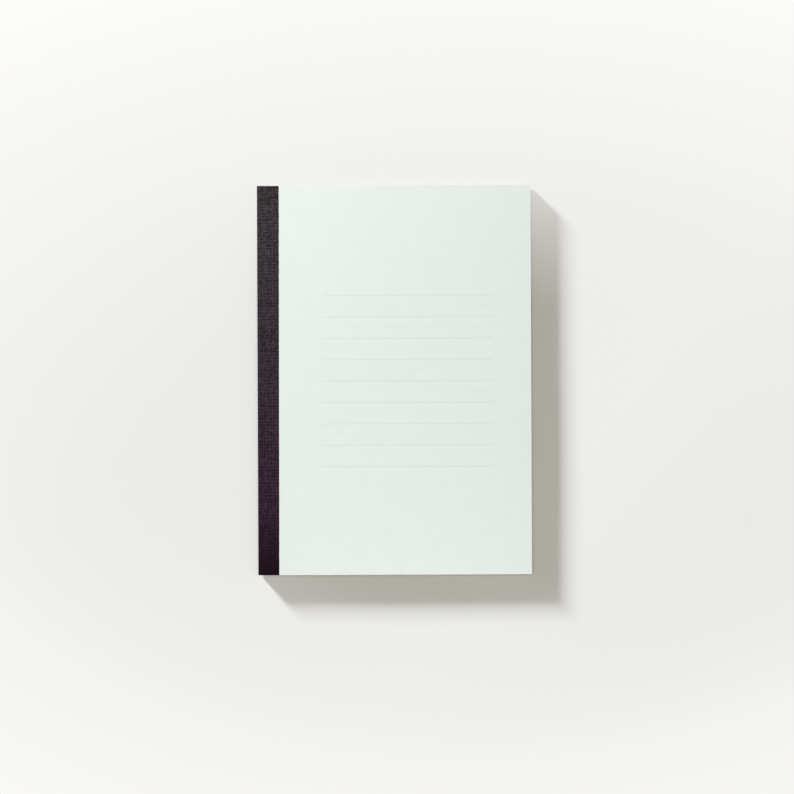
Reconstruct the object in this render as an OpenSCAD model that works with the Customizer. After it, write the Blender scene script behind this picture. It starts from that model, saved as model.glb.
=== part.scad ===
// Tape-bound lined notebook, lying on its back cover.
// X runs from the spine to the fore-edge, Y from the tail to the head, Z up from the table.
// The origin is the middle of the footprint, at the level of the table. Sizes are millimetres.

/* [Book] */
// Overall width, from the spine to the fore-edge
book_w = 128; // [100:1:220]
// Overall height, from the tail to the head
book_h = 182; // [130:1:300]

/* [Pages] */
// Number of sheets in the block
sheet_count = 40; // [20:1:80]
// Thickness of one sheet
sheet_t = 0.1; // [0.06:0.01:0.2]
// Height of the gap that shows between two trimmed sheets
sheet_gap = 0.02; // [0.01:0.005:0.03]
// How far that gap reaches in from the trimmed edges
gap_depth = 0.4; // [0.1:0.1:1]

/* [Covers] */
// Thickness of the cover card
card_t = 0.35; // [0.25:0.05:0.8]

/* [Binding] */
// Thickness of the cloth tape
tape_t = 0.2; // [0.15:0.05:0.4]
// How far the tape turns over each cover, measured from the spine
tape_w = 10; // [6:0.1:20]
// How deep the binding press sinks the tape into the card
tape_press = 0.1; // [0.02:0.02:0.14]
// Thickness of the glue between the tape and the sheets
glue_t = 0.25; // [0.15:0.05:0.5]
// How far the glue creeps in between the sheets
glue_bite = 0.6; // [0.2:0.1:1.5]

/* [Ruling] */
// Distance between two thick rules, with one thin rule midway
rule_pitch = 10; // [6:0.5:12]
// Width of a thick rule
thick_rule_w = 0.5; // [0.3:0.05:1]
// Width of a thin rule
thin_rule_w = 0.15; // [0.1:0.05:0.3]
// How deep the ink sits in the paper
ink_t = 0.03; // [0.01:0.01:0.03]
// Number of thick rules printed on the front cover
cover_rules = 9; // [3:1:11]
// Length of the rules on the front cover
cover_rule_len = 80; // [40:1:110]
// How far those rules sit nearer the fore-edge than the middle of the bare card
cover_rule_shift = 1.3; // [0:0.1:3]
// How far those rules sit nearer the tail than the middle of the card
cover_rule_drop = 0.4; // [0:0.1:3]
// Bare margin at the head and the tail of a ruled page
page_end_margin = 16; // [8:1:30]
// Bare margin at the sides of a ruled page
page_side_margin = 8; // [4:1:20]

/* [Hidden] */

$fn = 48;
// How far a cutter runs past the face that it opens
over = 1;

// Levels, from the table up
block_t = sheet_count * sheet_t;
tape_proud = tape_t - tape_press;
back_inner_z = tape_proud + card_t;
front_inner_z = back_inner_z + block_t;
total_t = front_inner_z + card_t + tape_proud;

// Places along the width
spine_x = -book_w / 2;
fore_x = book_w / 2;
// Tape and glue together: the radius of the fold, and where the sheets and cards begin
fold_r = tape_t + glue_t;
leaf_x = spine_x + fold_r;
leaf_w = fore_x - leaf_x;
tape_edge_x = spine_x + tape_w;
cover_rule_x = (tape_edge_x + fore_x) / 2 + cover_rule_shift;
page_rule_x = (leaf_x + fore_x) / 2;

page_rule_len = leaf_w - 2 * page_side_margin;
page_rules = floor((book_h - 2 * page_end_margin) / rule_pitch) + 1;

card_color = [0.91, 0.93, 0.91];
page_color = [0.95, 0.96, 0.94];
ink_color = [0.82, 0.85, 0.83];
tape_color = [0.22, 0.18, 0.21];
glue_color = [0.93, 0.90, 0.80];

// A flat leaf of the book, from the fold to the fore-edge, with its underside at z
module leaf(z, thickness) {
    translate([leaf_x, -book_h / 2, z])
        cube([leaf_w, book_h, thickness]);
}

// One printed rule, centred on the origin in X and at y
module rule(length, width, y, height) {
    translate([-length / 2, y - width / 2, 0])
        cube([length, width, height]);
}

// Thick rules with a thin one midway between each two, centred on the origin
module ruling(length, count, height) {
    for (i = [0 : count - 1])
        rule(length, thick_rule_w, (i - (count - 1) / 2) * rule_pitch, height);
    for (i = [0 : count - 2])
        rule(length, thin_rule_w, (i - (count - 2) / 2) * rule_pitch, height);
}

// The rules of the first and the last page; a cutter also runs a little past the paper
module both_page_rules(past_face) {
    translate([page_rule_x, 0, front_inner_z - ink_t])
        ruling(page_rule_len, page_rules, ink_t + past_face);
    translate([page_rule_x, 0, back_inner_z - past_face])
        ruling(page_rule_len, page_rules, ink_t + past_face);
}

module front_cover_rules(past_face) {
    translate([cover_rule_x, -cover_rule_drop, total_t - tape_proud - ink_t])
        ruling(cover_rule_len, cover_rules, ink_t + past_face);
}

// The gap between two sheets: open at the head, the tail and the fore-edge, shut at the glue
module gap_between_sheets() {
    linear_extrude(sheet_gap)
        difference() {
            translate([leaf_x + glue_bite, -book_h / 2 - over])
                square([leaf_w - glue_bite + over, book_h + 2 * over]);
            translate([leaf_x, -book_h / 2 + gap_depth])
                square([leaf_w - gap_depth, book_h - 2 * gap_depth]);
        }
}

module page_block() {
    color(page_color)
        difference() {
            leaf(back_inner_z, block_t);
            for (i = [1 : sheet_count - 1])
                translate([0, 0, back_inner_z + i * sheet_t - sheet_gap / 2])
                    gap_between_sheets();
            both_page_rules(over);
        }
}

module page_ruling() {
    color(ink_color)
        both_page_rules(0);
}

// Section of the spine from a depth under its surface to the first edge of the leaves
module spine_section(depth) {
    intersection() {
        translate([spine_x, 0])
            square([fold_r, total_t]);
        union() {
            for (z = [fold_r, total_t - fold_r])
                translate([leaf_x, z])
                    circle(fold_r - depth);
            translate([spine_x + depth, fold_r])
                square([fold_r, total_t - 2 * fold_r]);
        }
    }
}

// Sweeps a section that is drawn in X and Z along the whole height of the book
module along_spine() {
    translate([0, book_h / 2, 0])
        rotate([90, 0, 0])
            linear_extrude(book_h)
                children();
}

module spine_glue() {
    color(glue_color)
        along_spine()
            spine_section(tape_t);
}

module spine_tape() {
    color(tape_color)
        along_spine()
            difference() {
                spine_section(0);
                spine_section(tape_t);
            }
}

// The tape where it turns over a cover, with its underside at z
module tape_turnover(z) {
    color(tape_color)
        translate([leaf_x, -book_h / 2, z])
            cube([tape_edge_x - leaf_x, book_h, tape_t]);
}

module front_tape() {
    tape_turnover(total_t - tape_t);
}

module back_tape() {
    tape_turnover(0);
}

// The bed that the press leaves in a card for the tape, with its lowest level at z
module tape_bed(z) {
    translate([leaf_x - over, -book_h / 2 - over, z])
        cube([tape_edge_x - leaf_x + over, book_h + 2 * over, tape_t]);
}

module front_cover() {
    color(card_color)
        difference() {
            leaf(front_inner_z, card_t);
            tape_bed(total_t - tape_t);
            front_cover_rules(over);
        }
}

module back_cover() {
    color(card_color)
        difference() {
            leaf(tape_proud, card_t);
            tape_bed(0);
        }
}

module cover_ruling() {
    color(ink_color)
        front_cover_rules(0);
}

page_block();
page_ruling();
spine_glue();
front_cover();
cover_ruling();
front_tape();
spine_tape();
back_cover();
back_tape();
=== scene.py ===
"""Looks of a lined notebook: pale card covers, a woven tape over the spine, trimmed sheets and print.

Everything is in metres, in the notebook's own frame: X from the spine to the fore-edge,
Y from the tail to the head, Z up from the back cover to the front cover.
"""

import math

import bpy
import numpy as np
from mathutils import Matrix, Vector


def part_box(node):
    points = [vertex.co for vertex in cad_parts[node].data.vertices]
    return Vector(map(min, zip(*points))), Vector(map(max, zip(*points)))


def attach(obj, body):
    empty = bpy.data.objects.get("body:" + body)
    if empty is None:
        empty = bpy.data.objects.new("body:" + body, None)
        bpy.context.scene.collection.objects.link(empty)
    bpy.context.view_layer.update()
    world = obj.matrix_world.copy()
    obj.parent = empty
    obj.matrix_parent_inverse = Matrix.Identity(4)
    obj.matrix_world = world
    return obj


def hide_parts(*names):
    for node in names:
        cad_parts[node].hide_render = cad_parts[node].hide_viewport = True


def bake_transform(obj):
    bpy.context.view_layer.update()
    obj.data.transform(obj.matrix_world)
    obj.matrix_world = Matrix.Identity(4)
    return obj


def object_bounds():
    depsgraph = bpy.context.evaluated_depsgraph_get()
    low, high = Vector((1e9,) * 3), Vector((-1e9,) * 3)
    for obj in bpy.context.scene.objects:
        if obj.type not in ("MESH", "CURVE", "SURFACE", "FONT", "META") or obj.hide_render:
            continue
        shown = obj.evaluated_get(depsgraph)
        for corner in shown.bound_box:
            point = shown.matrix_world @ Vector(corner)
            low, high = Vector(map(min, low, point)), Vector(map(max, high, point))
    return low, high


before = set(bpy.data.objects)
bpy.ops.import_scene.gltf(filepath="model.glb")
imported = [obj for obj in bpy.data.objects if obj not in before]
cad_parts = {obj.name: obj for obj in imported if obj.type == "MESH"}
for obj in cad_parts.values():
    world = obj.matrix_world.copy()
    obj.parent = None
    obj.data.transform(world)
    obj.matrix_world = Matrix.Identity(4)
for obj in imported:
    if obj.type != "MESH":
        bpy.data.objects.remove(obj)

MM = 0.001

cad_low, cad_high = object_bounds()


# Sizes that the frame gives

block_low, block_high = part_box("page_block")
back_low, back_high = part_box("back_cover")
front_low, front_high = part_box("front_cover")
front_rule_low, front_rule_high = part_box("cover_ruling")
front_tape_low, front_tape_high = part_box("front_tape")

spine_x, fore_x = cad_low.x, cad_high.x
tail_y, head_y = cad_low.y, cad_high.y
book_h = head_y - tail_y
total_t = cad_high.z
# Where the leaves begin and the tape's fold ends
leaf_x = front_tape_low.x
fold_r = leaf_x - spine_x
tape_edge_x = front_tape_high.x
tape_t = front_tape_high.z - front_tape_low.z
# How deep the tape lies in a card
bed_depth = front_high.z - front_tape_low.z


# Colours

def srgb(red, green, blue):
    """A colour that is read off as 0 to 255, as linear RGBA."""
    linear = []
    for value in (red, green, blue):
        share = value / 255
        linear.append(share / 12.92 if share <= 0.04045 else ((share + 0.055) / 1.055) ** 2.4)
    return (*linear, 1.0)


def tinted(colour, share):
    """The colour made lighter or darker by a share of itself."""
    return (*(channel * share for channel in colour[:3]), 1.0)


CARD = srgb(229, 235, 230)
CARD_EDGE_LIGHT = srgb(226, 233, 229)
CARD_EDGE_DARK = srgb(206, 214, 209)
PAGE = srgb(242, 243, 236)
# Lit and shaded copies of the page edges' paper: the streaks between them are partly paper tone and partly
# painted light and painted shade of single sheets and the gaps between them
PAGE_EDGE_PAINTED_LIGHT = srgb(235, 232, 224)
PAGE_EDGE_PAINTED_SHADE = srgb(158, 154, 146)
INK = srgb(221, 228, 222)
# The cloth's dark purple dye from the tail to the head, with a painted sheen that makes it lighter toward
# the head and darkest at the tail
CLOTH_DYE_AND_PAINTED_SHEEN = (
    (0.0, srgb(18, 2, 13)),
    (0.17, srgb(48, 31, 45)),
    (0.6, srgb(53, 45, 51)),
    (1.0, srgb(58, 53, 56)),
)
CLOTH_SHEEN = srgb(214, 196, 208)
GLUE = srgb(212, 203, 178)
# The ground's colour toward the spine and the head, and toward the fore-edge and the tail: painted shade
# and painted light
GROUND_IN_PAINTED_SHADE = srgb(232, 230, 223)
GROUND_IN_PAINTED_LIGHT = srgb(243, 241, 235)
GROUND_FAR = srgb(237, 236, 234)
BACKDROP = srgb(254, 253, 251)


# Node helpers

def seen_share(tree):
    """1 where the camera, a glossy surface or a clear one looks, and 0 for light that spreads."""
    path = tree.nodes.new("ShaderNodeLightPath")
    share = path.outputs["Is Camera Ray"]
    for kind in ("Is Glossy Ray", "Is Transmission Ray"):
        either = tree.nodes.new("ShaderNodeMath")
        either.operation = "MAXIMUM"
        tree.links.new(share, either.inputs[0])
        tree.links.new(path.outputs[kind], either.inputs[1])
        share = either.outputs["Value"]
    return share


class Shader:
    """A node material under construction, with its Principled BSDF at hand."""

    def __init__(self, name, roughness, specular):
        self.material = bpy.data.materials.new(name)
        self.material.use_nodes = True
        self.tree = self.material.node_tree
        self.bsdf = self.tree.nodes["Principled BSDF"]
        self.bsdf.inputs["Roughness"].default_value = roughness
        self.bsdf.inputs["Specular IOR Level"].default_value = specular

    def node(self, kind, **settings):
        made = self.tree.nodes.new(kind)
        for name, value in settings.items():
            setattr(made, name, value)
        return made

    def link(self, source, target):
        self.tree.links.new(source, target)

    def coordinates(self, kind):
        return self.node("ShaderNodeTexCoord").outputs[kind]

    def place(self, kind, scale, location=(0, 0, 0)):
        """Texture coordinates of a kind, stretched by scale along X, Y and Z and then moved."""
        mapping = self.node("ShaderNodeMapping")
        mapping.inputs["Scale"].default_value = scale
        mapping.inputs["Location"].default_value = location
        self.link(self.coordinates(kind), mapping.inputs["Vector"])
        return mapping.outputs["Vector"]

    def noise(self, kind, scale, detail):
        """Noise on the coordinates of a kind, with so many repeats a metre along X, Y and Z."""
        texture = self.node("ShaderNodeTexNoise")
        texture.inputs["Scale"].default_value = 1.0
        texture.inputs["Detail"].default_value = detail
        texture.inputs["Roughness"].default_value = NOISE_ROUGHNESS
        self.link(self.place(kind, scale), texture.inputs["Vector"])
        return texture.outputs["Fac"]

    def spread(self, value, low, high):
        """A value from low to high, mapped to 0 to 1."""
        mapped = self.node("ShaderNodeMapRange")
        mapped.inputs["From Min"].default_value = low
        mapped.inputs["From Max"].default_value = high
        self.link(value, mapped.inputs["Value"])
        return mapped.outputs["Result"]

    def math(self, operation, first, second):
        """Arithmetic on two values, each a socket or a number."""
        made = self.node("ShaderNodeMath", operation=operation)
        for socket, value in zip(made.inputs, (first, second)):
            if isinstance(value, (int, float)):
                socket.default_value = value
            else:
                self.link(value, socket)
        return made.outputs["Value"]

    def plus(self, first, second, share):
        """The first value and a share of the second, added up."""
        return self.math("ADD", first, self.math("MULTIPLY", second, share))

    def dot(self, first, second):
        """Dot product of a vector socket and another one or a plain vector."""
        made = self.node("ShaderNodeVectorMath", operation="DOT_PRODUCT")
        self.link(first, made.inputs[0])
        if isinstance(second, tuple):
            made.inputs[1].default_value = second
        else:
            self.link(second, made.inputs[1])
        return made.outputs["Value"]

    def mix(self, factor, first, second):
        """A colour between two others, each RGBA."""
        made = self.node("ShaderNodeMix", data_type="RGBA")
        self.link(factor, made.inputs["Factor"])
        for name, value in (("A", first), ("B", second)):
            socket = next(s for s in made.inputs if s.name == name and s.type == "RGBA")
            socket.default_value = value
        return next(s for s in made.outputs if s.type == "RGBA")

    def ramp(self, factor, stops):
        """A colour that runs through stops, each a place from 0 to 1 and an RGBA."""
        made = self.node("ShaderNodeValToRGB")
        elements = made.color_ramp.elements
        while len(elements) < len(stops):
            elements.new(0.5)
        for element, (position, colour) in zip(elements, stops):
            element.position = position
            element.color = colour
        self.link(factor, made.inputs["Fac"])
        return made.outputs["Color"]

    def colour(self, socket):
        self.link(socket, self.bsdf.inputs["Base Color"])

    def sheen(self, weight, roughness, tint):
        self.bsdf.inputs["Sheen Weight"].default_value = weight
        self.bsdf.inputs["Sheen Roughness"].default_value = roughness
        self.bsdf.inputs["Sheen Tint"].default_value = tint

    def bump(self, height, distance):
        bump = self.node("ShaderNodeBump")
        bump.inputs["Distance"].default_value = distance
        bump.inputs["Strength"].default_value = 1.0
        self.link(height, bump.inputs["Height"])
        self.link(bump.outputs["Normal"], self.bsdf.inputs["Normal"])


# Materials: the scales are repeats a metre along X, Y and Z, or across and along the tape

NOISE_ROUGHNESS = 0.55

PAPER_CLOUDS = (160, 160, 160)
PAPER_FIBRES_ALONG = (3200, 900, 3200)
PAPER_FIBRES_ACROSS = (900, 3200, 3200)
FIBRES_IN_FORMATION = 0.5
FORMATION_RANGE = (0.7, 1.3)

EDGE_LINES = (18, 18, 9000)
EDGE_BANDS = (9, 9, 1900)
BANDS_IN_STREAKS = 0.8
STREAK_RANGE = (0.6, 1.2)

INK_GRAIN = (2600, 2600, 2600)
INK_GRAIN_RANGE = (0.3, 0.7)

# The value that each point of the tape carries, from dark to light: each thread's own tone, and painted
# shade in the gaps between threads
THREAD_TONE_AND_GAP_SHADE = "thread_tone_and_painted_gap_shade"
CLOTH_FIBRES = (9000, 9000, 1)
CLOTH_CLOUDS = (220, 220, 1)
FIBRES_IN_SHADE = 0.22
CLOUDS_IN_SHADE = 0.2
SHADE_RANGE = (0.2, 1.2)
# Share of its dye that the darkest spot shows, and how much more the lightest one does
DARKEST_DYE = 0.4
DYE_CONTRAST = 1.2

GLUE_LUMPS = (1500, 1500, 1500)

# Painted light on the ground: it turns paler along this direction, between these distances from the origin
GROUND_SLOPE = (1, -0.8, 0)
GROUND_SLOPE_RANGE = (-0.1, 0.12)
# The backdrop takes over outside an ellipse, which this squeeze and move turn into a circle
# round the origin. The ranges are squares of distances in that circle
GLOW_SQUEEZE = (0.58, 1, 1)
GLOW_MOVE = (-0.02, 0.03, 0)
GLOW_RANGE = (0.0045, 0.022)
GLOW_COLOUR_RANGE = (0, 0.06)


def paper(name, colour, mottle, tooth):
    """Uncoated paper: a cloudy sheet formation, short fibres and a fine tooth."""
    shader = Shader(name, roughness=0.92, specular=0.25)
    clouds = shader.noise("Object", PAPER_CLOUDS, detail=4)
    fibres_along = shader.noise("Object", PAPER_FIBRES_ALONG, detail=2)
    fibres_across = shader.noise("Object", PAPER_FIBRES_ACROSS, detail=2)
    fibres = shader.math("ADD", fibres_along, fibres_across)
    formation = shader.spread(shader.plus(clouds, fibres, FIBRES_IN_FORMATION), *FORMATION_RANGE)
    shader.colour(shader.mix(formation, tinted(colour, 1 - mottle), tinted(colour, 1 + mottle)))
    shader.bump(fibres, distance=tooth)
    return shader.material


def cut_edges(name, dark, light):
    """Cut paper edges: fine streaks that run along the sheets. Between the page block's lit and shaded
    colours, the streaks are partly the paper's tone and partly painted light and painted shade of single
    sheets and the gaps between them.
    """
    shader = Shader(name, roughness=0.95, specular=0.15)
    lines = shader.noise("Object", EDGE_LINES, detail=3)
    bands = shader.noise("Object", EDGE_BANDS, detail=2)
    streaks = shader.spread(shader.plus(lines, bands, BANDS_IN_STREAKS), *STREAK_RANGE)
    shader.colour(shader.mix(streaks, dark, light))
    shader.bump(lines, distance=0.02 * MM)
    return shader.material


def ink(name):
    """Pale offset ink that sinks into the paper a little unevenly."""
    shader = Shader(name, roughness=0.85, specular=0.3)
    grain = shader.noise("Object", INK_GRAIN, detail=3)
    shader.colour(shader.mix(shader.spread(grain, *INK_GRAIN_RANGE), tinted(INK, 0.96), tinted(INK, 1.03)))
    shader.bump(grain, distance=0.004 * MM)
    return shader.material


def cloth(name):
    """Dyed cotton threads: each has its own shade, and short fibres run along it. The dye runs lighter
    toward the head, which is a painted sheen, and the gaps between threads carry painted shade.
    """
    shader = Shader(name, roughness=0.88, specular=0.1)
    shader.sheen(weight=0.06, roughness=0.5, tint=CLOTH_SHEEN)
    shade = shader.node("ShaderNodeAttribute", attribute_name=THREAD_TONE_AND_GAP_SHADE).outputs["Fac"]
    fibres = shader.noise("UV", CLOTH_FIBRES, detail=3)
    clouds = shader.noise("UV", CLOTH_CLOUDS, detail=2)
    shade = shader.plus(shade, fibres, FIBRES_IN_SHADE)
    shade = shader.plus(shade, clouds, CLOUDS_IN_SHADE)
    split = shader.node("ShaderNodeSeparateXYZ")
    shader.link(shader.coordinates("UV"), split.inputs["Vector"])
    # Colour along the spine: the cloth's dye with a painted sheen, lighter toward the head
    dye_and_painted_sheen = shader.ramp(shader.spread(split.outputs["Y"], 0, book_h), CLOTH_DYE_AND_PAINTED_SHEEN)
    tone = shader.node("ShaderNodeVectorMath", operation="SCALE")
    shader.link(dye_and_painted_sheen, tone.inputs[0])
    shader.link(
        shader.plus(DARKEST_DYE, shader.spread(shade, *SHADE_RANGE), DYE_CONTRAST),
        tone.inputs["Scale"],
    )
    shader.colour(tone.outputs["Vector"])
    shader.bump(fibres, distance=0.015 * MM)
    return shader.material


def dried_glue(name):
    """Cream hot-melt glue, slightly glossy and lumpy."""
    shader = Shader(name, roughness=0.45, specular=0.5)
    lumps = shader.noise("Object", GLUE_LUMPS, detail=2)
    shader.colour(shader.mix(lumps, tinted(GLUE, 0.93), tinted(GLUE, 1.02)))
    shader.bump(lumps, distance=0.03 * MM)
    return shader.material


def ground_paint(name):
    """A matt ground with painted light, paler toward the fore-edge and the tail, that turns into the
    backdrop far off.
    """
    shader = Shader(name, roughness=1.0, specular=0.0)
    slope = shader.dot(shader.coordinates("Object"), GROUND_SLOPE)
    shader.colour(shader.mix(shader.spread(slope, *GROUND_SLOPE_RANGE), GROUND_IN_PAINTED_SHADE, GROUND_IN_PAINTED_LIGHT))
    place = shader.place("Object", GLOW_SQUEEZE, GLOW_MOVE)
    away = shader.dot(place, place)
    glow = shader.node("ShaderNodeEmission")
    glow_colour = shader.mix(shader.spread(away, *GLOW_COLOUR_RANGE), GROUND_FAR, BACKDROP)
    shader.link(glow_colour, glow.inputs["Color"])
    share = shader.math("MULTIPLY", seen_share(shader.tree), shader.spread(away, *GLOW_RANGE))
    choose = shader.node("ShaderNodeMixShader")
    shader.link(share, choose.inputs["Fac"])
    shader.link(shader.bsdf.outputs["BSDF"], choose.inputs[1])
    shader.link(glow.outputs["Emission"], choose.inputs[2])
    shader.link(choose.outputs["Shader"], shader.tree.nodes["Material Output"].inputs["Surface"])
    return shader.material


# Mesh helpers

def mesh_piece(name, points, faces, materials, smooth=True):
    """A mesh object from its points and faces, linked to the scene."""
    mesh = bpy.data.meshes.new(name)
    mesh.from_pydata(np.asarray(points).tolist(), [], [[int(v) for v in face] for face in faces])
    mesh.validate()
    mesh.polygons.foreach_set("use_smooth", [smooth] * len(mesh.polygons))
    for material in materials:
        mesh.materials.append(material)
    piece = bpy.data.objects.new(name, mesh)
    bpy.context.scene.collection.objects.link(piece)
    return piece


def slab(x, y, top, under):
    """Points, faces and rim faces of a thin slab between two levels on a grid."""
    upper = np.arange(x.size).reshape(x.shape)
    lower = x.size + upper
    points = np.concatenate([np.stack([x, y, z], axis=-1).reshape(-1, 3) for z in (top, under)])
    columns, rows = x.shape
    faces, rim = [], []
    for i in range(columns - 1):
        for j in range(rows - 1):
            faces.append((upper[i, j], upper[i + 1, j], upper[i + 1, j + 1], upper[i, j + 1]))
            faces.append((lower[i, j], lower[i, j + 1], lower[i + 1, j + 1], lower[i + 1, j]))
        rim.append((lower[i, 0], lower[i + 1, 0], upper[i + 1, 0], upper[i, 0]))
        rim.append((lower[i + 1, -1], lower[i, -1], upper[i, -1], upper[i + 1, -1]))
    for j in range(rows - 1):
        rim.append((lower[0, j + 1], lower[0, j], upper[0, j], upper[0, j + 1]))
        rim.append((lower[-1, j], lower[-1, j + 1], upper[-1, j + 1], upper[-1, j]))
    return points, np.array(faces), np.array(rim)


def second_material(piece, first_face):
    """Gives a piece's second material to its faces from first_face on."""
    kinds = np.zeros(len(piece.data.polygons), dtype=np.int32)
    kinds[first_face:] = 1
    piece.data.polygons.foreach_set("material_index", kinds)


def dress(node, material):
    """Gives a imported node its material."""
    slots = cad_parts[node].data.materials
    slots.clear()
    slots.append(material)


def eased(share):
    """A share from 0 to 1 that starts and ends gently."""
    return share * share * (3 - 2 * share)


# The weave of the tape: warp threads run along the spine, weft threads round it

THREAD_PITCH = 0.75 * MM
# How far a thread rises over the threads that it crosses, and its own half thickness
THREAD_RISE = 0.035 * MM
THREAD_R = 0.055 * MM
# Every other thread is thinner by this share
THIN_THREAD_SHARE = 0.84
# How much a thread swells and shrinks, and the lengths over which it does
SWELL_SHARE = 0.1
WARP_SWELL_LENGTH = 6 * MM
WEFT_SWELL_LENGTH = 4 * MM
# A distance on the line between two threads belongs to the further one, within this share of a pitch
ON_THE_LINE = 1e-6
WEAVE_SEED = 11

# The middle shade of the cloth, and how far each cause moves it
MIDDLE_SHADE = 0.48
WARP_TONE_SHARE = 0.2
WEFT_TONE_SHARE = 0.1
SWELL_TONE_SHARE = 0.2
WARP_BOLD_SHARE = 0.2
WEFT_BOLD_SHARE = 0.08
CROSSING_TONE_SHARE = 0.38
# Painted shade: how much darker a point is drawn the deeper it lies between the threads
PAINTED_GAP_SHADE_SHARE = 0.5
# The shade of the hidden inner face
INNER_SHADE = 0.2


def thread_at(distances):
    """Number of the thread that lies at each distance."""
    return (distances / THREAD_PITCH + ON_THE_LINE).astype(int)


def alternate(thread):
    """1 for even threads and -1 for odd ones."""
    return np.where(thread % 2 == 0, 1, -1)


def slow_noise(rng, threads, positions, spacing):
    """One smooth random line for each thread, from -1 to 1, sampled at the positions."""
    knots = int(positions[-1] / spacing) + 3
    values = rng.uniform(-1, 1, (threads, knots))
    at = positions / spacing
    low = at.astype(int)
    share = eased(at - low)
    return values[:, low] * (1 - share) + values[:, low + 1] * share


def thread_back(offset, thread, swell):
    """Height of a thread's round back over its middle line, at an offset from it in pitches."""
    thick = np.where(thread % 2 == 0, 1.0, THIN_THREAD_SHARE)
    half = thick / 2 * (1 + SWELL_SHARE * swell)
    inside = np.clip(1 - (offset / half) ** 2, 0, 1)
    return THREAD_R * thick * np.sqrt(inside)


def weave(across, along, seed):
    """Height, 0 at the top of the cloth, and shade of a plain weave on a grid of the two distances: each
    thread's tone, with painted shade where the cloth lies deep between threads.
    """
    rng = np.random.default_rng(seed)
    warps = int(across[-1] / THREAD_PITCH) + 2
    wefts = int(along[-1] / THREAD_PITCH) + 2
    warp, weft = thread_at(across), thread_at(along)
    warp_swell = slow_noise(rng, warps, along, WARP_SWELL_LENGTH)[warp]
    weft_swell = slow_noise(rng, wefts, across, WEFT_SWELL_LENGTH)[weft].T
    warp_tone = rng.uniform(-1, 1, warps)[warp][:, None]
    weft_tone = rng.uniform(-1, 1, wefts)[weft][None, :]
    crossing_tone = rng.uniform(-1, 1, (warps, wefts))[warp][:, weft]

    warp, weft = warp[:, None], weft[None, :]
    over_warps = (across / THREAD_PITCH)[:, None] - 0.5
    over_wefts = (along / THREAD_PITCH)[None, :] - 0.5
    warp_wave = np.cos(math.pi * over_wefts) * alternate(warp)
    weft_wave = -np.cos(math.pi * over_warps) * alternate(weft)
    warp_top = THREAD_RISE * warp_wave + thread_back(over_warps - warp, warp, warp_swell)
    weft_top = THREAD_RISE * weft_wave + thread_back(over_wefts - weft, weft, weft_swell)
    top = np.maximum(warp_top, weft_top)
    highest = THREAD_RISE + THREAD_R

    warp_shade = WARP_TONE_SHARE * warp_tone + WARP_BOLD_SHARE * alternate(warp)
    warp_shade = warp_shade + SWELL_TONE_SHARE * warp_swell
    weft_shade = WEFT_TONE_SHARE * weft_tone + WEFT_BOLD_SHARE * alternate(weft)
    weft_shade = weft_shade + SWELL_TONE_SHARE * weft_swell
    shade = MIDDLE_SHADE + np.where(warp_top > weft_top, warp_shade, weft_shade)
    depth = (highest - top) / (2 * highest)
    # Points deep between the threads are drawn darker: painted shade
    return top - highest, shade + CROSSING_TONE_SHARE * crossing_tone - PAINTED_GAP_SHADE_SHARE * depth


# The tape, in two halves that meet at the middle of the spine

STEPS_A_THREAD = 4
# Rows of the outer face to one row of the inner face
INNER_ROW_STEP = 24
# How unevenly the threads end along the cut edge, and how fast that fades toward the fold
FRAY = 0.05 * MM
FRAY_FADE = 16
FRAY_SEED_STEP = 50
# How far the tape on the front runs past its straight line at the tail and at the head
TAIL_SHORT = -0.22 * MM
HEAD_OVER = 0.24 * MM

# Width of the cloth on half the spine, round the fold and in all
spine_w = total_t / 2 - fold_r
fold_w = fold_r * math.pi / 2
flat_w = spine_w + fold_w + tape_edge_x - leaf_x


def tape_path(distance):
    """Outer face of the tape at a distance from the spine's middle line: X, Z and its normal."""
    if distance <= spine_w:
        return spine_x, total_t / 2 + distance, -1.0, 0.0
    if distance <= spine_w + fold_w:
        angle = (distance - spine_w) / fold_r
        sine, cosine = math.sin(angle), math.cos(angle)
        return leaf_x - fold_r * cosine, total_t - fold_r + fold_r * sine, -cosine, sine
    return leaf_x + distance - spine_w - fold_w, total_t, 0.0, 1.0


def tape_lines(length):
    """Grid lines of the weave from 0 to the length."""
    step = THREAD_PITCH / STEPS_A_THREAD
    return np.append(np.arange(int(length / step) + 1) * step, length)


def tape_face(across, along, height, ends, front):
    """Points of a face of the tape that stands off the outer one by a height."""
    path = np.array([tape_path(distance) for distance in across])
    base_x, base_z, normal_x, normal_z = (column[:, None] for column in path.T)
    past_fold = np.clip((base_x - leaf_x) / (tape_edge_x - leaf_x), 0, 1)
    points = np.empty((len(across), len(along), 3))
    points[..., 0] = base_x + normal_x * height + past_fold**FRAY_FADE * ends[thread_at(along)]
    points[..., 1] = tail_y + along
    points[..., 2] = base_z + normal_z * height
    if front:
        points[..., 0] += past_fold * (TAIL_SHORT + (HEAD_OVER - TAIL_SHORT) * along / book_h)
    else:
        points[..., 2] = total_t - points[..., 2]
    return points


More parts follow.
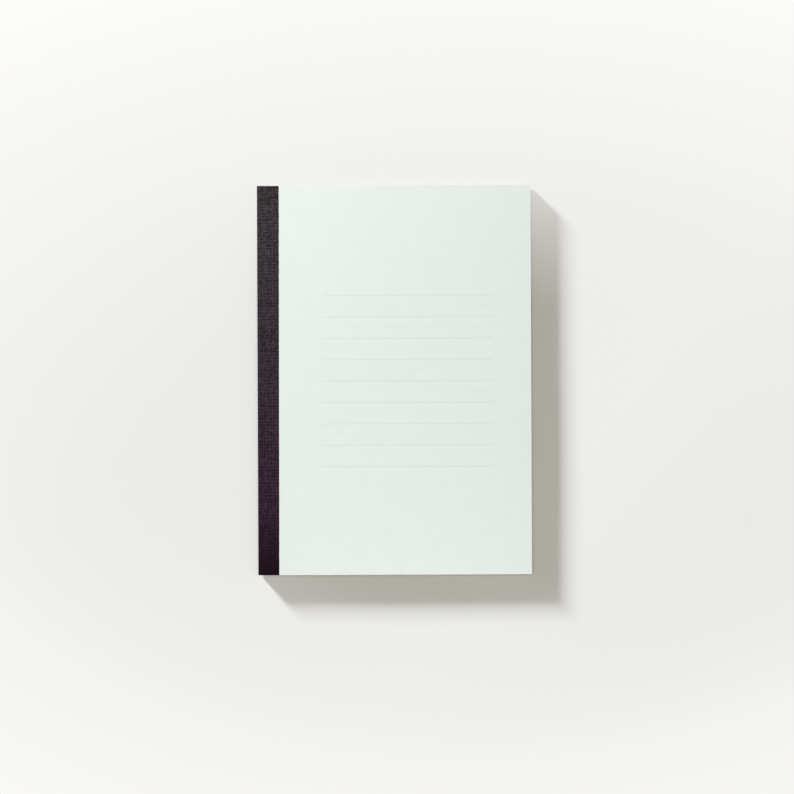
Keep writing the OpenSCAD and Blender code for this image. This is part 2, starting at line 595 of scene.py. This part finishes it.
def tape_faces(outer, inner, inner_rows):
    """Faces of the tape round the point numbers of its fine outer face and its coarser inner one."""
    faces = []
    for i in range(len(outer) - 1):
        for j in range(outer.shape[1] - 1):
            faces.append((outer[i, j], outer[i + 1, j], outer[i + 1, j + 1], outer[i, j + 1]))
        for j in range(inner.shape[1] - 1):
            faces.append((inner[i, j], inner[i, j + 1], inner[i + 1, j + 1], inner[i + 1, j]))
        faces.append((outer[i, 0], inner[i, 0], inner[i + 1, 0], outer[i + 1, 0]))
        faces.append((outer[i, -1], outer[i + 1, -1], inner[i + 1, -1], inner[i, -1]))
    for j in range(inner.shape[1] - 1):
        span = range(inner_rows[j], inner_rows[j + 1] + 1)
        faces.append((*(outer[0, k] for k in span), inner[0, j + 1], inner[0, j]))
        faces.append((*(outer[-1, k] for k in reversed(span)), inner[-1, j], inner[-1, j + 1]))
    return faces


def unrolled(across, along):
    """Where the points of a grid lie on the flat tape."""
    return np.stack(np.meshgrid(across, along, indexing="ij"), axis=-1).reshape(-1, 2)


def tape_half(name, front, material, seed):
    """Half of the tape, from the spine's middle line to its edge on one cover."""
    across, along = tape_lines(flat_w), tape_lines(book_h)
    inner_rows = np.unique(np.append(np.arange(0, len(along), INNER_ROW_STEP), len(along) - 1))
    height, shade = weave(across, along, seed)
    ends = np.random.default_rng(seed + FRAY_SEED_STEP).uniform(
        -FRAY, FRAY, int(book_h / THREAD_PITCH) + 2
    )
    outer_points = tape_face(across, along, height, ends, front)
    inner_points = tape_face(across, along[inner_rows], -tape_t, ends, front)
    points = np.concatenate([outer_points.reshape(-1, 3), inner_points.reshape(-1, 3)])

    numbers = np.arange(len(points))
    outer = numbers[: shade.size].reshape(shade.shape)
    inner = numbers[shade.size :].reshape(len(across), len(inner_rows))
    faces = tape_faces(outer, inner, inner_rows)
    if not front:
        faces = [face[::-1] for face in faces]
    piece = mesh_piece(name, points, faces, [material])

    shades = np.append(shade, np.full(inner.size, INNER_SHADE))
    attribute = piece.data.attributes.new(THREAD_TONE_AND_GAP_SHADE, "FLOAT", "POINT")
    attribute.data.foreach_set("value", shades.astype(np.float32))

    flat = np.concatenate([unrolled(across, along), unrolled(across, along[inner_rows])])
    corners = np.empty(len(piece.data.loops), dtype=np.int64)
    piece.data.loops.foreach_get("vertex_index", corners)
    layer = piece.data.uv_layers.new(name="tape")
    layer.uv.foreach_set("vector", flat[corners].astype(np.float32).ravel())
    return piece


# The sheets

SHEET_COUNT = 40
SHEET_T = 0.085 * MM
SHEET_COLUMNS = 14
SHEET_ROWS = 20
# How far a sheet's fore-edge may fall short, and how much of that its head and tail may shift
SHEET_SHIFT = 0.055 * MM
END_SHIFT_SHARE = 0.7
# How far the print on the two outer pages stands over the paper
INK_STANDS = 0.008 * MM
# How unequal the gaps are from sheet to sheet and over one sheet, and its random values along X and Y
GAP_SPREAD = 0.8
GAP_WANDER = 0.5
WANDER_KNOTS = (5, 6)
SHEET_SEED = 5


def finer(field, columns, rows):
    """A coarse field drawn out over a finer grid, straight from knot to knot."""
    knots_x, knots_y = field.shape
    along_x = np.linspace(0, knots_x - 1, columns)
    along_y = np.linspace(0, knots_y - 1, rows)
    wide = np.stack([np.interp(along_x, range(knots_x), line) for line in field.T])
    return np.stack([np.interp(along_y, range(knots_y), line) for line in wide.T])


def page_sheets(name, materials):
    """The trimmed sheets, each with its own small shift and an uneven gap to the next."""
    rng = np.random.default_rng(SHEET_SEED)
    xs = np.linspace(block_low.x, block_high.x, SHEET_COLUMNS + 1)
    ys = np.linspace(block_low.y, block_high.y, SHEET_ROWS + 1)
    low = block_low.z + INK_STANDS
    room = block_high.z - INK_STANDS - low - SHEET_COUNT * SHEET_T
    openness = np.exp(rng.normal(0, GAP_SPREAD, (SHEET_COUNT - 1, 1, 1)))
    wander = rng.normal(0, GAP_WANDER, (SHEET_COUNT - 1, *WANDER_KNOTS))
    gaps = openness * np.exp(np.stack([finer(field, len(xs), len(ys)) for field in wander]))
    gaps *= room / gaps.sum(axis=0)
    levels = np.concatenate([np.zeros((1, len(xs), len(ys))), np.cumsum(gaps, axis=0)])

    points, faces, rims = [], [], []
    for sheet in range(SHEET_COUNT):
        shift_x = rng.uniform(-SHEET_SHIFT, 0)
        shift_y = rng.uniform(-SHEET_SHIFT, SHEET_SHIFT) * END_SHIFT_SHARE
        moved = xs + shift_x * np.arange(len(xs)) / SHEET_COLUMNS
        x, y = np.meshgrid(moved, ys + shift_y, indexing="ij")
        under = low + sheet * SHEET_T + levels[sheet]
        sheet_points, sheet_faces, rim = slab(x, y, under + SHEET_T, under)
        faces.append(sheet_faces + sheet * len(sheet_points))
        rims.append(rim + sheet * len(sheet_points))
        points.append(sheet_points)
    first_rim = sum(len(sheet_faces) for sheet_faces in faces)
    piece = mesh_piece(name, np.concatenate(points), np.concatenate(faces + rims), materials, smooth=False)
    second_material(piece, first_rim)
    return piece


# The cards

CARD_COLUMNS = 36
CARD_ROWS = 48
BED_COLUMNS = 4
# Width of the wall between the bed for the tape and the card's face
BED_WALL = 0.03 * MM
# Radius of a cut edge, the angles of the grid lines round it and the first line on the flat, in radii
CARD_ROUND = 0.06 * MM
ROUND_ANGLES = np.radians([0, 30, 60, 90])
FIRST_FLAT_LINE = 1.6
SHARP_DEG = 40

# The front card's bow: its height, the share of the bare card over which it rises, and its two waves,
# each with a strength, full turns over the card's width and height and the turn it starts at
BOW = 0.14 * MM
BOW_RISE_SHARE = 0.4
SWING, SWING_TURNS_X, SWING_TURNS_Y, SWING_START = 0.35, 0.7, 1.1, 0.15
ROLL, ROLL_TURNS_X, ROLL_TURNS_Y, ROLL_START = 0.3, 0.3, 1.5, 0.2


def front_lift(x, y):
    """How far the front card stands off the sheets: it bows up a little beyond the tape."""
    along_x = (x - tape_edge_x) / (fore_x - tape_edge_x)
    along_y = (y - tail_y) / book_h
    rise = eased(np.clip(along_x / BOW_RISE_SHARE, 0, 1))
    turn = 2 * math.pi
    swing = np.sin(turn * (SWING_TURNS_X * along_x + SWING_START)) * np.cos(turn * SWING_TURNS_Y * along_y)
    roll = np.cos(turn * (ROLL_TURNS_Y * along_y + ROLL_TURNS_X * along_x + ROLL_START))
    return BOW * rise * (1 + SWING * swing + ROLL * roll)


def no_lift(x, y):
    """The back card lies flat."""
    return np.zeros_like(x)


def trimmed(low, high, count, low_cut=True):
    """Grid lines from low to high, closer together where a cut edge is rounded."""
    corner = CARD_ROUND * np.append(1 - np.cos(ROUND_ANGLES), FIRST_FLAT_LINE)
    start = low + corner if low_cut else np.array([low])
    end = (high - corner)[::-1]
    middle = np.linspace(start[-1], end[0], count + 1)[1:-1]
    return np.concatenate([start, middle, end])


def rounding(distance):
    """How far a card's face falls away at a distance from its cut edge."""
    short = np.clip(CARD_ROUND - distance, 0, None)
    return CARD_ROUND - np.sqrt(np.maximum(CARD_ROUND**2 - short**2, 0))


def card_piece(name, low_z, high_z, lift, bed_on_top, materials):
    """A cover card: a pressed bed for the tape, three trimmed edges and a slight bow."""
    xs = np.concatenate([
        np.linspace(leaf_x, tape_edge_x, BED_COLUMNS + 1),
        trimmed(tape_edge_x + BED_WALL, fore_x, CARD_COLUMNS, low_cut=False),
    ])
    ys = trimmed(tail_y, head_y, CARD_ROWS)
    x, y = np.meshgrid(xs, ys, indexing="ij")
    to_edge = np.minimum(np.minimum(fore_x - x, y - tail_y), head_y - y)
    bed = np.where(x < tape_edge_x + BED_WALL / 2, bed_depth, 0)
    top = high_z + lift(x, y) - rounding(to_edge) - (bed if bed_on_top else 0)
    under = low_z + lift(x, y) + rounding(to_edge) + (0 if bed_on_top else bed)
    points, faces, rim = slab(x, y, top, under)
    piece = mesh_piece(name, points, np.concatenate([faces, rim]), materials)
    second_material(piece, len(faces))
    piece.data.set_sharp_from_angle(angle=math.radians(SHARP_DEG))
    return piece


# The print on the front card

RULE_PITCH = 10 * MM
THICK_RULE_W = 0.5 * MM
THIN_RULE_W = 0.15 * MM
RULE_STEPS = 40
INK_PROUD = 0.004 * MM
INK_SUNK = 0.02 * MM
# Corners of a rule's section: the side of its middle line, and the level over the card
RULE_SECTION = ((-1, -INK_SUNK), (1, -INK_SUNK), (1, INK_PROUD), (-1, INK_PROUD))


def printed_rules(name, material):
    """The rules on the front card, thick and thin in turn, laid on its slightly bowed face."""
    middle = (front_rule_low.y + front_rule_high.y) / 2
    count = round((front_rule_high.y - front_rule_low.y - THICK_RULE_W) / RULE_PITCH) + 1
    xs = np.linspace(front_rule_low.x, front_rule_high.x, RULE_STEPS + 1)
    corners = len(RULE_SECTION)
    points, faces = [], []
    for k in range(2 * count - 1):
        y = middle + (k - count + 1) * RULE_PITCH / 2
        width = THIN_RULE_W if k % 2 else THICK_RULE_W
        first = len(points)
        for x in xs:
            face_z = front_high.z + float(front_lift(x, y))
            for side, level in RULE_SECTION:
                points.append((x, y + side * width / 2, face_z + level))
        for here in range(first, first + corners * RULE_STEPS, corners):
            for a in range(corners):
                b = (a + 1) % corners
                faces.append((here + a, here + b, here + corners + b, here + corners + a))
        faces.append(range(first + corners - 1, first - 1, -1))
        faces.append(range(len(points) - corners, len(points)))
    return mesh_piece(name, points, faces, [material], smooth=False)


# The camera, straight above the cover

LENS_MM = 85.0
SENSOR_MM = 36.0
CAMERA_PLACE = Vector((0.00118, -0.00791, 0.88132))
CAMERA_TURN_DEG = -0.23
NEAREST_SEEN = 0.05
FURTHEST_SEEN = 20


def camera():
    data = bpy.data.cameras.new("camera")
    data.lens = LENS_MM
    data.sensor_width = SENSOR_MM
    data.clip_start = NEAREST_SEEN
    data.clip_end = FURTHEST_SEEN
    eye = bpy.data.objects.new("camera", data)
    eye.location = CAMERA_PLACE
    eye.rotation_euler = (0, 0, math.radians(CAMERA_TURN_DEG))
    bpy.context.scene.collection.objects.link(eye)
    bpy.context.scene.camera = eye


# Ground and light

# How far the ground lies under the notebook, which leaves room for the back cover folded out
GROUND_DROP = 0.5 * MM
GROUND_HALF = 4.0
FILL_TINT = (1.03, 1.01, 0.96)
KEY_TINT = (0.97, 0.99, 1.03)
GROUND_TINT = (0.93, 0.975, 1.095)
# Shares of a plain level that the lamps give the notebook; the sky gives the rest
KEY_SHARE = 0.455
TAIL_SHARE = 0.115
TOP_SHARE = 0.18
# Shares that two lamps of its own give the ground, beside the sky
GROUND_KEY_SHARE = 0.56
GROUND_TOP_SHARE = 0.21


def floor():
    """A wide flat ground under the notebook."""
    sides = ((-1, -1), (1, -1), (1, 1), (-1, 1))
    corners = [(x * GROUND_HALF, y * GROUND_HALF, -GROUND_DROP) for x, y in sides]
    ground = mesh_piece("floor", corners, [(0, 1, 2, 3)], [ground_paint("ground")])
    return ground


def soft_box(name, azimuth_deg, elevation_deg, distance, size, share, tint):
    """A square lamp aimed at the notebook, which gets its share of a plain level from it."""
    azimuth, elevation = math.radians(azimuth_deg), math.radians(elevation_deg)
    direction = Vector((
        math.cos(elevation) * math.cos(azimuth),
        math.cos(elevation) * math.sin(azimuth),
        math.sin(elevation),
    ))
    data = bpy.data.lights.new(name, "AREA")
    data.shape = "SQUARE"
    data.size = size
    data.color = tint
    # Share of its light that a large lamp near by sends to one spot, as against a small one far off
    reach = size / 2 / math.hypot(size / 2, distance)
    seen = 4 / math.pi * reach * math.atan(reach)
    data.energy = share * math.pi * size**2 / (seen * math.sin(elevation))
    lamp = bpy.data.objects.new(name, data)
    lamp.location = direction * distance
    lamp.rotation_euler = direction.to_track_quat("Z", "Y").to_euler()
    bpy.context.scene.collection.objects.link(lamp)
    return lamp


def shine(lamp, ground, on_ground):
    """Lets a lamp light only the ground, or everything but the ground."""
    receivers = bpy.data.collections.new(lamp.name + "_receivers")
    receivers.objects.link(ground)
    if not on_ground:
        receivers.collection_objects[0].light_linking.link_state = "EXCLUDE"
    lamp.light_linking.receiver_collection = receivers


def sky():
    """An even fill, seen by the camera as the pale backdrop."""
    world = bpy.data.worlds.new("studio")
    bpy.context.scene.world = world
    world.use_nodes = True
    nodes, links = world.node_tree.nodes, world.node_tree.links
    fill = nodes["Background"]
    fill.inputs["Color"].default_value = (*FILL_TINT, 1.0)
    fill.inputs["Strength"].default_value = 1 - KEY_SHARE - TAIL_SHARE - TOP_SHARE
    seen = nodes.new("ShaderNodeBackground")
    seen.inputs["Color"].default_value = BACKDROP
    choose = nodes.new("ShaderNodeMixShader")
    links.new(seen_share(world.node_tree), choose.inputs["Fac"])
    links.new(fill.outputs["Background"], choose.inputs[1])
    links.new(seen.outputs["Background"], choose.inputs[2])
    links.new(choose.outputs["Shader"], nodes["World Output"].inputs["Surface"])


bpy.context.scene.view_settings.view_transform = "Standard"
camera()
ground = floor()
sky()

key = soft_box(
    "key", azimuth_deg=124, elevation_deg=40, distance=0.8, size=0.25, share=KEY_SHARE, tint=KEY_TINT
)
tail = soft_box(
    "tail", azimuth_deg=-86, elevation_deg=31, distance=0.33, size=0.12, share=TAIL_SHARE, tint=KEY_TINT
)
overhead = soft_box(
    "top", azimuth_deg=90, elevation_deg=88, distance=1.4, size=3.0, share=TOP_SHARE, tint=FILL_TINT
)
# The ground has a lower key of its own, so that its shadow is long and no cut edge is over-lit
ground_key = soft_box(
    "ground_key", azimuth_deg=134, elevation_deg=13.2, distance=3.0, size=0.41,
    share=GROUND_KEY_SHARE, tint=GROUND_TINT,
)
ground_overhead = soft_box(
    "ground_top", azimuth_deg=90, elevation_deg=88, distance=1.5, size=0.8,
    share=GROUND_TOP_SHARE, tint=FILL_TINT,
)
for lamp in (key, tail, overhead):
    shine(lamp, ground, on_ground=False)
for lamp in (ground_key, ground_overhead):
    shine(lamp, ground, on_ground=True)


# Dressing the notebook

card = paper("cover_card", CARD, mottle=0.012, tooth=0.012 * MM)
page = paper("page_paper", PAGE, mottle=0.008, tooth=0.006 * MM)
page_edges = cut_edges("page_edges", PAGE_EDGE_PAINTED_SHADE, PAGE_EDGE_PAINTED_LIGHT)
card_edges = cut_edges("card_edges", CARD_EDGE_DARK, CARD_EDGE_LIGHT)
print_ink = ink("ruling_ink")
tape_cloth = cloth("tape_cloth")

dress("page_ruling", print_ink)
dress("spine_glue", dried_glue("spine_glue"))

front_card = card_piece(
    "front_card", front_low.z, front_high.z, front_lift, bed_on_top=True, materials=[card, card_edges]
)
back_card = card_piece(
    "back_card", back_low.z, back_high.z, no_lift, bed_on_top=False, materials=[card, card_edges]
)
rules = printed_rules("front_rules", print_ink)
for piece, body, node, slot in (
    (front_card, "front_cover", "front_cover", "cover_card"),
    (back_card, "back_cover", "back_cover", "cover_card"),
    (rules, "front_cover", "cover_ruling", "ruling_ink"),
):
    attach(piece, body)
    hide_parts(node)

sheets = page_sheets("page_sheets", [page, page_edges])
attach(sheets, "book_block")
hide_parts("page_block")

for name, front, body, node, axis_z in (
    ("tape_over_front", True, "front_cover", "front_tape", total_t),
    ("tape_over_back", False, "back_cover", "back_tape", 0.0),
):
    half = tape_half(name, front, tape_cloth, WEAVE_SEED + front)
    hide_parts(node, "spine_tape")
    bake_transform(half)
